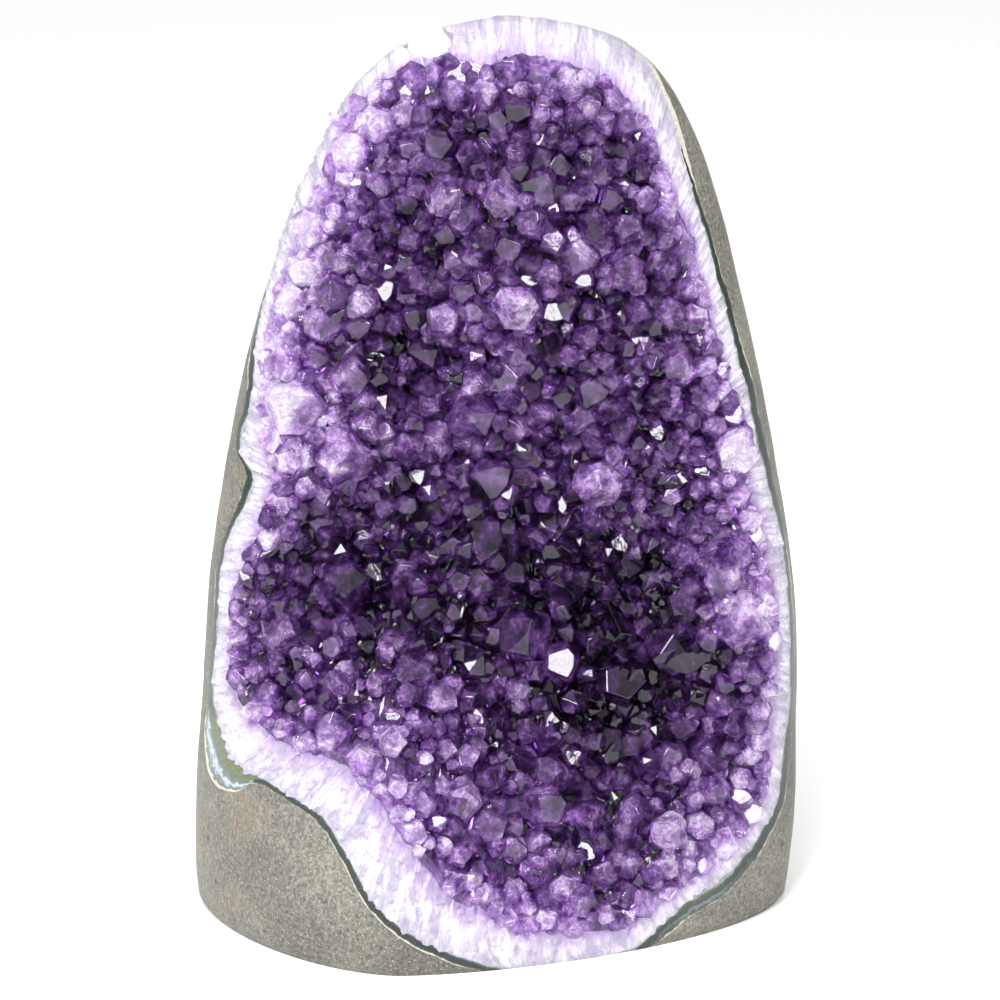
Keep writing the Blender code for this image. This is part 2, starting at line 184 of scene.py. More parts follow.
def wander(points, size, octaves=3):
    """Smooth noise at each row of points, features about this size, from -1 to 1."""
    return np.array([noise.fractal(Vector(p) / size, 1.0, 2.0, octaves) for p in points])


def signed_power(value, power):
    return np.sign(value) * np.abs(value) ** power


def block_points(count, step):
    """Level rings round the ground surface: an array of (rings, points, xyz)."""
    walls = np.arange(BASE_CHAMFER, CROWN_RINGS[0], step)
    heights = np.concatenate((FOOT_RINGS, walls, np.linspace(*CROWN_RINGS), LAST_RINGS))
    angle = np.linspace(0, 2 * math.pi, count, endpoint=False)
    rings = []
    for z in heights:
        left, right, widest, front, back, crown, front_exponent = section_at(np.array([z]))
        inset = CHAMFER_SHARE * max(0.0, 1 - z / BASE_CHAMFER)
        along, across = np.cos(angle), np.sin(angle)
        exponent = np.where(across > 0, BACK_EXPONENT, front_exponent)
        reach = signed_power(along, 2 / exponent)
        depth = np.abs(across) ** (2 / exponent)
        x = crown + reach * np.where(reach > 0, right - crown, crown - left)
        wave = BACK_WAVE * depth * (np.sin(BACK_WAVE_TURNS * angle + z / BACK_WAVE_RISE) - 1)
        y = widest + np.where(across > 0, (back - widest) * depth + wave, (front - widest) * depth)
        rings.append(np.stack((x * (1 - inset), y * (1 - inset), np.full_like(x, z)), axis=1))
    return np.array(rings)


def closed_curve(points, steps):
    """A smooth closed curve through the points, with this many samples to each span."""
    points = np.array(points, float)
    before, end, after = np.roll(points, 1, 0), np.roll(points, -1, 0), np.roll(points, -2, 0)
    samples = []
    for step in range(steps):
        t = step / steps
        samples.append(0.5 * (2 * points + (end - before) * t
                              + (2 * before - 5 * points + 4 * end - after) * t ** 2
                              + (3 * points - before - 3 * end + after) * t ** 3))
    return np.stack(samples, 1).reshape(-1, points.shape[1])


def inset_rim(rim, width):
    """The rim, as rows of (x, z, behind), drawn in towards the hollow's centre."""
    out = rim[:, :2] - HOLLOW_CENTRE
    share = 1 - width / np.linalg.norm(out, axis=1)
    return np.column_stack((HOLLOW_CENTRE + out * share[:, None], rim[:, 2]))


def ragged(rim, seed, amount=RAGGED):
    """The rim with its edge wandering in and out a little, as a grown boundary does."""
    places = np.column_stack((rim[:, 0], rim[:, 1], np.full(len(rim), seed)))
    size, share = RAGGED_FINE
    return inset_rim(rim, amount * (wander(places, RAGGED_SIZE) + share * wander(places, size)))


BASALT_CURVE = closed_curve(BASALT_RIM, RIM_STEPS)
BASALT_EDGE = ragged(BASALT_CURVE[:, :3], seed=0.0)
RIND_EDGE = ragged(inset_rim(BASALT_EDGE, BASALT_CURVE[:, 3]), seed=40.0)
AMETHYST_CURVE = closed_curve([(x, z, 0.0) for x, z in AMETHYST_RIM], RIM_STEPS)
AMETHYST_EDGE = ragged(AMETHYST_CURVE, seed=80.0, amount=AMETHYST_RAGGED)


def polar(rim):
    """(angles, reaches) of a rim about the hollow's centre, sorted and running past a full turn."""
    out = rim[:, :2] - HOLLOW_CENTRE
    angle, reach = np.arctan2(out[:, 1], out[:, 0]), np.linalg.norm(out, axis=1)
    order = np.argsort(angle)
    angle, reach = angle[order], reach[order]
    turn = 2 * math.pi
    return np.concatenate((angle - turn, angle, angle + turn)), np.tile(reach, 3)


def share_of(x, z, edge):
    """Share of the way from the hollow's centre to this edge at each (x, z), and the edge's reach there."""
    across, up = x - HOLLOW_CENTRE[0], z - HOLLOW_CENTRE[1]
    reach = np.interp(np.arctan2(up, across), *edge)
    return np.hypot(across, up) / reach, reach


def angle_of(x, z):
    """Direction of each (x, z) from the hollow's centre."""
    return np.arctan2(z - HOLLOW_CENTRE[1], x - HOLLOW_CENTRE[0])


BASALT_POLAR = polar(BASALT_EDGE)
RIND_POLAR = polar(RIND_EDGE)
AMETHYST_POLAR = polar(AMETHYST_EDGE)


def relief_at(x, z):
    """How far the druse swells towards the face at each x and z."""
    return sum(height * np.exp(-((x - cx) ** 2 + (z - cz) ** 2) / radius ** 2)
               for cx, cz, radius, height in FACE_RELIEF)


def druse_floor(x, z):
    """y of the surface that the points grow on."""
    share, reach = share_of(x, z, AMETHYST_POLAR)
    angle = angle_of(x, z)
    rim_y = front_depth(HOLLOW_CENTRE[0] + reach * np.cos(angle), HOLLOW_CENTRE[1] + reach * np.sin(angle))
    y = AMETHYST_DEPTH + (rim_y - AMETHYST_DEPTH) * share ** HOLLOW_POWER
    return y - relief_at(x, z) * (1 - np.minimum(share, 1) ** RELIEF_FADE)


# ---------------------------------------------------------------- mesh helpers

def mesh_from(name, points, faces):
    """An object from points in millimetres."""
    mesh = bpy.data.meshes.new(name)
    mesh.from_pydata((np.asarray(points, float) * MM).tolist(), [], faces)
    mesh.update()
    obj = bpy.data.objects.new(name, mesh)
    bpy.context.scene.collection.objects.link(obj)
    return obj


def ring_faces(rings, count, first=0):
    """Quads between rings of this many points each, stored one after the other."""
    k = np.arange(count)
    after = (k + 1) % count
    faces = []
    for ring in range(rings - 1):
        low, high = first + ring * count, first + (ring + 1) * count
        faces += np.column_stack((low + k, low + after, high + after, high + k)).tolist()
    return faces


def face_out(obj):
    """Turns the faces of a closed mesh outwards."""
    bm = bmesh.new()
    bm.from_mesh(obj.data)
    bmesh.ops.recalc_face_normals(bm, faces=bm.faces)
    bm.to_mesh(obj.data)
    bm.free()
    return obj


def grown_relief(points):
    """Height of the grown grain over the white quartz: long cells that run in towards the hollow."""
    x, z = points[:, 0], points[:, 2]
    share, reach = share_of(x, z, RIND_POLAR)
    around = angle_of(x, z) * RIM_RADIUS / GRAIN[0]
    inward = share * reach / GRAIN[1]
    relief = []
    for column, row in zip(around, inward):
        near = noise.voronoi(Vector((column, row, 0.0)))[0]
        relief.append(GROOVE * min(near[1] - near[0], GROOVE_REACH))
    return np.array(relief) + SUGAR * wander(points, SUGAR_SIZE)


def block_mesh(name, mesh_size=BLOCK_MESH, relief=None):
    """The whole block as one closed mesh, with a relief on its front if one is given."""
    rings = block_points(*mesh_size)
    count = rings.shape[1]
    faces = ring_faces(len(rings), count)
    faces.append(list(range(count - 1, -1, -1)))
    faces.append(list(range((len(rings) - 1) * count, len(rings) * count)))
    points = rings.reshape(-1, 3)
    height = points[:, 2]
    lift = SWELL * wander(points, SWELL_SIZE) * np.clip(height / SWELL_FOOT, 0, 1) - SINK
    out = points - np.column_stack((np.tile(BLOCK_AXIS, (len(points), 1)), height))
    out /= np.linalg.norm(out, axis=1)[:, None]
    if relief:
        is_front = points[:, 1] < points[:, 1].max() / 2
        lift = lift + relief(points) * is_front * np.clip(height / GRAIN_FOOT, 0, 1)
    return face_out(mesh_from(name, points + out * lift[:, None], faces))


def bite_mesh(name):
    """The lump that is broken out of the top edge."""
    bm = bmesh.new()
    bmesh.ops.create_icosphere(bm, subdivisions=4, radius=1.0)
    turn = Matrix.Rotation(-BITE_SLOPE, 3, "X")
    points = []
    for vert in bm.verts:
        rough = 1 + BITE_ROUGH * noise.fractal(vert.co * Vector(BITE_GRAIN), 1.0, 2.0, 3)
        points.append(Vector(BITE_CENTRE) + turn @ (vert.co * Vector(BITE_RADII) * rough))
    faces = [[vert.index for vert in face.verts] for face in bm.faces]
    bm.free()
    return face_out(mesh_from(name, points, faces))


def cutter_mesh(name, rim, depth, lift=0.0, relief=False, rough=0.0):
    """Everything in front of a bowl: the bowl, its flare past the rim and a flat front."""
    rim = inset_rim(rim, np.full(len(rim), lift))
    count = len(rim)
    rim_y = front_depth(rim[:, 0], rim[:, 1]) + rim[:, 2]
    out = rim[:, :2] - HOLLOW_CENTRE
    rings = []
    for share in np.linspace(0, 1, BOWL_RINGS + 1)[1:] ** MIDDLE_CROWDING:
        place = HOLLOW_CENTRE + out * share
        y = depth + (rim_y - depth) * share ** HOLLOW_POWER - lift
        if relief:
            y = y - relief_at(place[:, 0], place[:, 1]) * (1 - share ** RELIEF_FADE)
        ring = np.column_stack((place[:, 0], y, place[:, 1]))
        ring[:, 1] += rough * (wander(ring, BED_GRAIN, octaves=2) + BED_SINK) * (share < 1)
        rings.append(ring)
    for share in FLARE_SHARES:
        place = HOLLOW_CENTRE + out * share
        y = rim_y - lift - FLARE_FORWARD * (share - 1) / (FLARE - 1)
        rings.append(np.column_stack((place[:, 0], y, place[:, 1])))
    flat = rings[-1].copy()
    flat[:, 1] = CUTTER_FRONT
    rings.append(flat)
    middle_y = depth - lift - (relief_at(*HOLLOW_CENTRE) if relief else 0.0)
    points = np.vstack(rings + [[(HOLLOW_CENTRE[0], middle_y, HOLLOW_CENTRE[1])]])
    faces = ring_faces(len(rings), count)
    faces += [[len(points) - 1, k, (k + 1) % count] for k in range(count)]
    faces.append(list(range((len(rings) - 1) * count, len(rings) * count)))
    return face_out(mesh_from(name, points, faces))


def boolean(obj, operation, other):
    """Cuts, joins or crosses a mesh with another, for good."""
    modifier = obj.modifiers.new(operation.lower(), "BOOLEAN")
    modifier.operation = operation
    modifier.solver = "MANIFOLD"
    modifier.object = other
    bake(obj)


def bake(obj):
    """Makes what the modifiers show the mesh itself."""
    graph = bpy.context.evaluated_depsgraph_get()
    mesh = bpy.data.meshes.new_from_object(obj.evaluated_get(graph))
    obj.modifiers.clear()
    obj.data = mesh


def remove(*objects):
    for obj in objects:
        bpy.data.objects.remove(obj, do_unlink=True)


def points_of(mesh):
    """The mesh's points, in millimetres."""
    values = np.empty(len(mesh.vertices) * 3)
    mesh.vertices.foreach_get("co", values)
    return values.reshape(-1, 3) / MM


def store(obj, name, values, domain="POINT"):
    """Puts a value at each point or face, for the shaders to read."""
    attribute = obj.data.attributes.new(name, "FLOAT", domain)
    attribute.data.foreach_set("value", np.asarray(values, np.float32))


# ---------------------------------------------------------------- amethyst points

CRYSTAL_SEED = 11
FRAME_SEED = CRYSTAL_SEED + 1
FORM_SEED = CRYSTAL_SEED + 3
SWAY = 0.34                  # spread of the points' leans
STEEPEST = 0.4               # the least that a point looks forwards
FORMS = 48                   # different points, used over and over at other sizes and turns
FORM_STRIDE = 7              # neighbours in the list take forms this far apart
ROUGH_CUBE = 8.0             # each form is cut from a cube of this side, for a radius of 1
PRISM_REACH = (0.8, 1.0)     # from the axis to each of the six prism faces
TIP_HEIGHT = (2.0, 2.4)
LARGE_SHIFT = (-0.12, 0.0)   # how far the three large pyramid faces lie off the tip
SMALL_SHIFT = (0.0, 0.22)    # and the three small ones between them
WORN_FROM = 0.2              # edges above this height are worn
RHOMB_ANGLE = math.radians(51.8)
EDGE_WEAR = 0.025            # bevel on the edges, as a share of the radius
WORN_RADIUS = 2.2            # smaller points keep sharp edges
# (number tried, smallest radius, largest radius, closest spacing as a share of the two radii): big first
SIZES = ((60, 4.0, 5.2, 0.78), (300, 2.9, 3.9, 0.62), (5000, 2.0, 2.9, 0.56), (9000, 1.1, 1.8, 0.54))
SEARCH_CELL = 7.0
RIM_SHARE = 0.45             # of its radius, how near to the druse's edge a point may stand
PROUD = 1.1                  # how far past the ground surface a point may reach
PROUD_SHARE = 0.25           # and this share of its radius more
REACH_SHARE = (0.8, 1.35)    # a point's height above the bed: this share of its radius
REACH_SPARE = (0.4, 2.4)     # and this much more
SLOPE_STEP = 0.5
SPAN_SHARES = (1.15, 0.5)    # of radius and reach: how far from its foot a point may touch another
# Points that stand out in the druse: (x, z, radius, reach above the floor, lean across, lean up)
KEY_POINTS = (
    (4, 124, 4.4, 10, 0.0, 0.2), (-4, 101, 5.2, 10, -0.2, 0.25), (19, 88, 5.0, 10, 0.15, 0.3),
    (4, 57, 5.8, 11, 0.1, 0.35), (-33, 118, 4.2, 8, -0.1, 0.3), (-28, 109.5, 4.2, 8, 0.1, 0.2),
    (46, 95, 4.6, 8, 0.3, 0.2), (44, 70, 4.8, 9, 0.3, 0.4), (47, 61, 6.0, 9, 0.3, 0.1),
    (-38, 104, 7.0, 9, -0.25, 0.35), (-30, 95, 6.2, 9, 0.15, 0.2), (-29, 160, 4.4, 6, -0.4, 0.3),
    (-35, 136, 4.6, 7, -0.35, 0.2), (-26, 151, 4.4, 7, -0.3, 0.4),
)


def crystal_form(chance, is_worn):
    """One point of radius 1, its foot at z = 0: a six-sided prism cut to a pyramid by six sloping faces."""
    bm = bmesh.new()
    tip = Vector((0, 0, chance.uniform(*TIP_HEIGHT)))
    bmesh.ops.create_cube(bm, size=ROUGH_CUBE, matrix=Matrix.Translation((0, 0, ROUGH_CUBE / 2)))

    def cut(place, outward):
        everything = bm.verts[:] + bm.edges[:] + bm.faces[:]
        done = bmesh.ops.bisect_plane(
            bm, geom=everything, plane_co=place, plane_no=outward, clear_outer=True)
        edges = [item for item in done["geom_cut"] if isinstance(item, bmesh.types.BMEdge)]
        if edges:
            bmesh.ops.contextual_create(bm, geom=edges)

    turn_over = chance.choice((0, 1))
    for k in range(6):
        angle = math.radians(60 * k)
        side = Vector((math.cos(angle), math.sin(angle), 0.0))
        cut(side * chance.uniform(*PRISM_REACH), side)
        slope = Vector((math.cos(angle) * math.sin(RHOMB_ANGLE),
                        math.sin(angle) * math.sin(RHOMB_ANGLE), math.cos(RHOMB_ANGLE)))
        is_large = k % 2 == turn_over
        cut(tip + slope * chance.uniform(*(LARGE_SHIFT if is_large else SMALL_SHIFT)), slope)
    if is_worn:
        edges = [edge for edge in bm.edges if min(vert.co.z for vert in edge.verts) > WORN_FROM]
        bmesh.ops.bevel(bm, geom=edges, offset=EDGE_WEAR, segments=1, affect="EDGES", clamp_overlap=True)
    bmesh.ops.dissolve_degenerate(bm, edges=bm.edges, dist=1e-4)
    bmesh.ops.recalc_face_normals(bm, faces=bm.faces)
    bm.verts.ensure_lookup_table()
    points = np.array([vert.co[:] for vert in bm.verts])
    faces = [[vert.index for vert in face.verts] for face in bm.faces]
    bm.free()
    return points, faces


def scatter_points():
    """(x, z, radius) of every point: the key ones, then smaller and smaller ones in what room is left."""
    chance = random.Random(CRYSTAL_SEED)
    placed = [(x, z, radius) for x, z, radius, *_ in KEY_POINTS]
    low, high = AMETHYST_EDGE[:, :2].min(0), AMETHYST_EDGE[:, :2].max(0)
    grid = {}

    def cell_of(x, z):
        return int(x // SEARCH_CELL), int(z // SEARCH_CELL)

    def points_near(x, z):
        column, row = cell_of(x, z)
        for i in range(column - 2, column + 3):
            for j in range(row - 2, row + 3):
                yield from grid.get((i, j), ())

    def add(point):
        grid.setdefault(cell_of(*point[:2]), []).append(point)

    def has_room(x, z, radius, crowding):
        return all(math.hypot(x - other_x, z - other_z) > crowding * (radius + other_radius)
                   for other_x, other_z, other_radius in points_near(x, z))

    for point in placed:
        add(point)
    for tries, smallest, largest, crowding in SIZES:
        for _ in range(tries):
            x, z = chance.uniform(low[0], high[0]), chance.uniform(low[1], high[1])
            radius = chance.uniform(smallest, largest)
            share, reach = share_of(x, z, AMETHYST_POLAR)
            if (1 - share) * reach < RIM_SHARE * radius:
                continue
            if has_room(x, z, radius, crowding):
                placed.append((x, z, radius))
                add(placed[-1])
    return placed


def groups_apart(places, frames):
    """Sorts the points into groups in which no two can touch, so that each group is a plain closed mesh."""
    groups = []
    member_of = []
    spots = np.array(places)[:, :2]
    wide, tall = SPAN_SHARES
    spans = np.array([wide * radius + tall * reach for _, _, radius, reach, _ in frames])
    for i in range(len(frames)):
        distance = np.hypot(*(spots[:i] - spots[i]).T)
        near = np.flatnonzero(distance < spans[:i] + spans[i])
        taken = {member_of[j] for j in near}
        group = 0
        while group in taken:
            group += 1
        if group == len(groups):
            groups.append([])
        groups[group].append(i)
        member_of.append(group)
    return groups


def crystal_frames(places):
    """For each point: (foot, direction, radius, reach above its foot, turn)."""
    chance = random.Random(FRAME_SEED)
    x, z, _ = np.array(places).T
    step = SLOPE_STEP
    floor = druse_floor(x, z)
    room = floor - front_depth(x, z)
    slope_x = (druse_floor(x + step, z) - druse_floor(x - step, z)) / (2 * step)
    slope_z = (druse_floor(x, z + step) - druse_floor(x, z - step)) / (2 * step)
    frames = []
    for i, (x_i, z_i, radius) in enumerate(places):
        outward = Vector((slope_x[i], -1.0, slope_z[i])).normalized()
        if i < len(KEY_POINTS):
            reach, lean_across, lean_up = KEY_POINTS[i][3:]
            outward = (outward + Vector((lean_across, 0, lean_up))).normalized()
        else:
            reach = BED_DEPTH + radius * chance.uniform(*REACH_SHARE) + chance.uniform(*REACH_SPARE)
            reach = min(reach, max(room[i], 0.0) + PROUD + PROUD_SHARE * radius)
            sway = Vector([chance.gauss(0, SWAY) for _ in range(3)])
            outward = (outward + sway).normalized()
            if outward.y > -STEEPEST:
                outward = Vector((outward.x, -STEEPEST, outward.z)).normalized()
        foot = Vector((x_i, floor[i], z_i))
        frames.append((foot, outward, radius, reach, chance.uniform(0, math.pi / 3)))
    return frames


def crystal_group(name, members, frames, forms):
    """One mesh that holds every point of a group, with a number of its own on each point's faces."""
    points, faces, own = [], [], []
    total = 0
    for i in members:
        foot, outward, radius, reach, turn = frames[i]
        shapes = forms[radius > WORN_RADIUS]
        shape, shape_faces = shapes[(i * FORM_STRIDE) % len(shapes)]
        stand = outward.to_track_quat("Z", "Y").to_matrix() @ Matrix.Rotation(turn, 3, "Z")
        local = shape * radius
        local[:, 2] += reach - local[:, 2].max()
        placed = local @ np.array(stand).T + np.array(foot)
        points.append(placed)
        faces += [[v + total for v in face] for face in shape_faces]
        own += [random.Random(i).random()] * len(shape_faces)
        total += len(placed)
    obj = mesh_from(name, np.vstack(points), faces)
    store(obj, "own", own, "FACE")
    return obj


# ---------------------------------------------------------------- the four minerals

def ground_basalt(inside_basalt):
    basalt = block_mesh("ground_basalt")
    boolean(basalt, "DIFFERENCE", inside_basalt)
    return basalt


def banded_rind(inside_basalt, inside_rind):
    rind = block_mesh("banded_rind")
    boolean(rind, "INTERSECT", inside_basalt)
    boolean(rind, "DIFFERENCE", inside_rind)
    return rind


def milky_quartz(inside_rind):
    quartz = block_mesh("milky_quartz", QUARTZ_MESH, grown_relief)
    inside_quartz = cutter_mesh("inside_quartz", AMETHYST_EDGE, AMETHYST_DEPTH, relief=True)
    boolean(quartz, "INTERSECT", inside_rind)
    boolean(quartz, "DIFFERENCE", inside_quartz)
    remove(inside_quartz)
    return quartz


def druse_bed():
    """The amethyst that the points stand on, from behind the face of the quartz to a rough front."""
    bed = cutter_mesh("amethyst_points", AMETHYST_EDGE, AMETHYST_DEPTH, -BED_SPARE, relief=True)
    over_bed = cutter_mesh("over_bed", AMETHYST_EDGE, AMETHYST_DEPTH, BED_DEPTH, True, BED_ROUGH)
    block = block_mesh("block")
    store(bed, "own", np.full(len(bed.data.polygons), BED_OWN), "FACE")
    boolean(bed, "DIFFERENCE", over_bed)
    boolean(bed, "INTERSECT", block)
    remove(over_bed, block)
    return bed


def crystal_groups():
    """The points, as closed meshes to join on one after the other."""
    places = scatter_points()
    frames = crystal_frames(places)
    chance = random.Random(FORM_SEED)
    forms = {worn: [crystal_form(chance, worn) for _ in range(FORMS)] for worn in (False, True)}
    for number, members in enumerate(groups_apart(places, frames)):
        yield crystal_group(f"group_{number}", members, frames, forms)


def amethyst_points():
    """The druse in one piece: its bed and every point, cut off a hair's breadth in front of the quartz."""
    druse = druse_bed()
    for group in crystal_groups():
        boolean(druse, "UNION", group)
        remove(group)
    over_quartz = cutter_mesh("over_quartz", AMETHYST_EDGE, AMETHYST_DEPTH, GAP, relief=True)
    boolean(druse, "INTERSECT", over_quartz)
    remove(over_quartz)
    return druse


def build_minerals():
    """The basalt, rind, quartz and druse, with the lump broken out of the top edge of each."""
    inside_basalt = cutter_mesh("inside_basalt", BASALT_EDGE, BASALT_DEPTH)
    inside_rind = cutter_mesh("inside_rind", RIND_EDGE, BASALT_DEPTH - RIND_DEPTH)
    bite = bite_mesh("bite")
    druse = amethyst_points()
    minerals = (ground_basalt(inside_basalt), banded_rind(inside_basalt, inside_rind),
                milky_quartz(inside_rind), druse)
    for mineral in minerals:
        boolean(mineral, "DIFFERENCE", bite)
    remove(inside_basalt, inside_rind, bite)
    return minerals


# ---------------------------------------------------------------- what the shaders read from the meshes

# Pale (above 0) and deep (below 0) places in the druse: (x, z, radius, amount). Most deep places lie in the
# dips of the face and are painted shade
TONE_AND_SHADE_PATCHES = (
    (-42, 106, 15, 0.45), (-28, 100, 9, 0.2), (-30, 156, 13, 0.4), (-38, 132, 11, 0.25),
    (-26, 140, 10, 0.15), (46, 92, 10, 0.25), (47, 66, 12, 0.4), (46, 40, 9, 0.2), (4, 122, 6, 0.35),
    (-5, 101, 9, 0.18), (-18, 46, 11, 0.3), (-12, 32, 9, 0.3), (4, 14, 12, 0.25), (40, 26, 10, 0.3),
    (8, 56, 5, 0.3), (22, 90, 9, 0.12), (20, 60, 17, -0.28), (26, 42, 14, -0.2), (-14, 68, 14, -0.22),
    (-22, 112, 8, -0.2), (12, 80, 9, -0.15), (-42, 80, 8, -0.1), (10, 150, 16, 0.03),
    (32, 60, 12, -0.15), (-5, 60, 12, -0.08),
)
DEEP_TONE = 0.36
RIM_GLOW = 6.0               # how far in from its edge the druse is pale, and how pale
RIM_PALE = 0.42
PATCH_STRENGTH = 0.8
ACROSS_LIMITS = (-0.2, 1.2)
RISE_HEIGHT = 9.0            # a point this high above the floor has a rise of 1
RISE_LIMITS = (0.0, 1.2)


def tone_and_shade_at(x, z):
    """How pale the amethyst is, with painted shade in the dips of the face: 0 is near black violet, 1 is
    the palest lilac.
    """
    share, reach = share_of(x, z, AMETHYST_POLAR)
    from_edge = np.maximum((1 - share) * reach, 0.0)
    tone_and_shade = DEEP_TONE + RIM_PALE * np.exp(-(from_edge / RIM_GLOW) ** 2)
    # the deep patches, most of them in the dips of the face, paint shade there
    for cx, cz, radius, amount in TONE_AND_SHADE_PATCHES:
        tone_and_shade = tone_and_shade + PATCH_STRENGTH * amount * np.exp(-((x - cx) ** 2 + (z - cz) ** 2) / radius ** 2)
    return np.clip(tone_and_shade, 0.0, 1.0)


def mark_band(obj, outer, inner):
    """Stores how far across its band each point of a mineral lies, and its place along the rim."""
    points = points_of(obj.data)
    x, z = points[:, 0], points[:, 2]
    share, outer_reach = share_of(x, z, outer)
    _, inner_reach = share_of(x, z, inner)
    inward = outer_reach - share * outer_reach
    width = outer_reach - inner_reach
    store(obj, "across", np.clip(inward / width, *ACROSS_LIMITS))
    store(obj, "inward", inward)
    store(obj, "band_width", width)
    store(obj, "round_rim", angle_of(x, z) * RIM_RADIUS)


def mark_druse(obj):
    """Stores how pale the druse is at each point, with painted shade in the dips of the face, and how high
    that point stands above the floor, which the shader uses to paint shade between the points.
    """
    points = points_of(obj.data)
    x, z = points[:, 0], points[:, 2]
    store(obj, "tone_and_shade", tone_and_shade_at(x, z))
    store(obj, "rise", np.clip((druse_floor(x, z) - points[:, 1]) / RISE_HEIGHT, *RISE_LIMITS))


# ---------------------------------------------------------------- materials

def is_socket(value):
    return isinstance(value, bpy.types.NodeSocket)


def grey(level):
    return (level, level, level)


class Shader:
    """Builds one node material. Positions in it are in millimetres.

    A value handed to a method is a plain number or colour, or the output socket of another node.
    """

    def __init__(self, name):
        self.material = bpy.data.materials.new(name)
        self.material.use_nodes = True
        self.tree = self.material.node_tree
        self.surface = self.tree.nodes["Principled BSDF"]
        self.output = self.tree.nodes["Material Output"]
        place = self.tree.nodes.new("ShaderNodeTexCoord").outputs["Object"]
        in_mm = self.add("ShaderNodeVectorMath", {0: place, "Scale": 1 / MM}, operation="SCALE")
        self.place = in_mm.outputs[0]

    def set(self, socket, value):
        if is_socket(value):
            self.tree.links.new(value, socket)
        else:
            socket.default_value = value

    def add(self, kind, inputs, **settings):
        """A new node, with these values or links at its inputs."""
        node = self.tree.nodes.new(kind)
        for key, value in settings.items():
            setattr(node, key, value)
        for key, value in inputs.items():
            self.set(node.inputs[key], value)
        return node

    def stretched(self, scale, turn=(0, 0, 0)):
        """Positions turned and scaled, so that a pattern read there has a grain."""
        inputs = {"Vector": self.place, "Scale": scale, "Rotation": turn}
        return self.add("ShaderNodeMapping", inputs).outputs[0]

    def noise(self, scale, detail=3.0, roughness=0.55, vector=None, distortion=0.0):
        vector = self.place if vector is None else vector
        return self.add("ShaderNodeTexNoise", {
            "Vector": vector, "Scale": scale, "Detail": detail, "Roughness": roughness,
            "Distortion": distortion}).outputs["Fac"]

    def cells(self, scale, vector=None, feature="F1"):
        """Distance from the middle, or from the edge, of irregular cells."""
        vector = self.place if vector is None else vector
        return self.add(
            "ShaderNodeTexVoronoi", {"Vector": vector, "Scale": scale}, feature=feature).outputs["Distance"]

    def read(self, name):
        """A value that was stored in the mesh."""
        return self.add("ShaderNodeAttribute", {}, attribute_name=name).outputs["Fac"]

    def math(self, operation, a, b=0.0, clamp=False):
        return self.add("ShaderNodeMath", {0: a, 1: b}, operation=operation, use_clamp=clamp).outputs[0]

    def swing(self, value, amount):
        """A value about 0.5 turned into one about 0, this many times as strong."""
        return self.math("MULTIPLY", self.math("SUBTRACT", value, 0.5), amount)

    def remap(self, value, low, high, new_low=0.0, new_high=1.0):
        return self.add("ShaderNodeMapRange", {
            "Value": value, "From Min": low, "From Max": high, "To Min": new_low, "To Max": new_high,
        }).outputs[0]

    def ramp(self, value, stops):
        """The colours in (position, colour) stops, read off at this value."""
        node = self.add("ShaderNodeValToRGB", {"Fac": value})
        elements = node.color_ramp.elements
        while len(elements) < len(stops):
            elements.new(0.5)
        for element, (position, colour) in zip(elements, stops):
            element.position = position
            element.color = (*colour, 1.0)
        return node.outputs["Color"]

    def mix(self, share, a, b, blend="MIX"):
        """Colour b laid over colour a. Sockets 0, 6 and 7 of the node are the share and the colours."""
        a, b = (value if is_socket(value) else (*value, 1.0) for value in (a, b))
        node = self.add("ShaderNodeMix", {0: share, 6: a, 7: b}, data_type="RGBA", blend_type=blend)
        return node.outputs[2]

    def bump(self, height, distance, strength=1.0, under=None):
        """A bumpy normal, with heights in millimetres, on top of another one if given."""
        inputs = {"Height": height, "Distance": distance * MM, "Strength": strength}
        if under is not None:
            inputs["Normal"] = under
        return self.add("ShaderNodeBump", inputs).outputs["Normal"]

    def finish(self, **inputs):
        for name, value in inputs.items():
            self.set(self.surface.inputs[name.replace("_", " ")], value)
        return self.material


BASALT_PATCHES = ((0.3, (0.085, 0.082, 0.068)), (0.7, (0.155, 0.15, 0.125)))
BASALT_GRAIN = ((0.34, grey(0.12)), (0.66, grey(0.95)))
PALE_FLECK = (0.42, 0.41, 0.36)
DARK_FLECK = (0.035, 0.035, 0.03)
PIT_COLOUR = (0.05, 0.045, 0.04)
RUST = (0.2, 0.13, 0.07)
VEIN_COLOUR = (0.3, 0.29, 0.25)
SCRATCH_COLOUR = (0.06, 0.058, 0.05)


